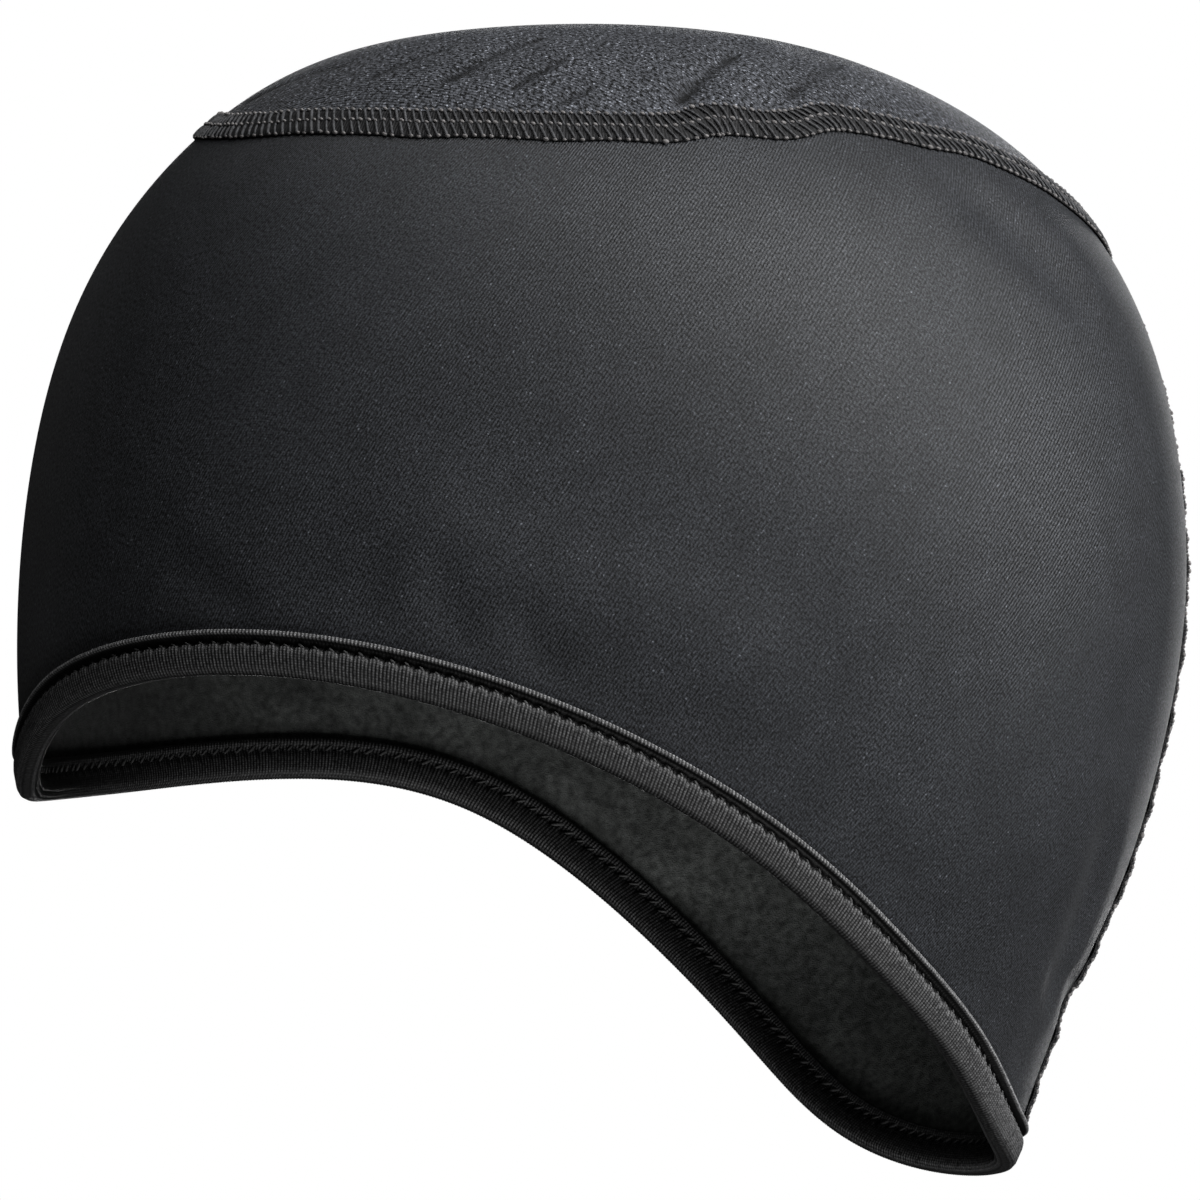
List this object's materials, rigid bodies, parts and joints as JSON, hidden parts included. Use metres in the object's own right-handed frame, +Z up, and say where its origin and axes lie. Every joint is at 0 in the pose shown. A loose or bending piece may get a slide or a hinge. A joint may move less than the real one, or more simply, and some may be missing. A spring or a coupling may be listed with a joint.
{
  "type": "helmet liner cap",
  "caption": "Close-fitting stretch cap worn under a helmet, with an oval crown panel, raised flat seams and a folded edge binding that dips to the nape.",
  "frame": {"origin": "the inside of the crown, straight above the middle of the head's length, where the cap rests on a head", "axes": "+Z up, the brow faces -Y and the nape +Y, the wearer's left side faces +X"},
  "size_m": [0.1516, 0.206, 0.1996],
  "materials": {
    "panel_cloth": "smooth satin stretch knit, brushed inside, charcoal black",
    "seam_thread": "matte overlock thread, dark grey",
    "edge_binding": "fine ribbed stretch binding, black"
  },
  "bodies": {
    "root": {"top_panel": "panel_cloth", "side_band": "panel_cloth", "crown_seam": "seam_thread", "back_seam": "seam_thread", "rim_binding": "edge_binding"}
  },
  "joints": []
}
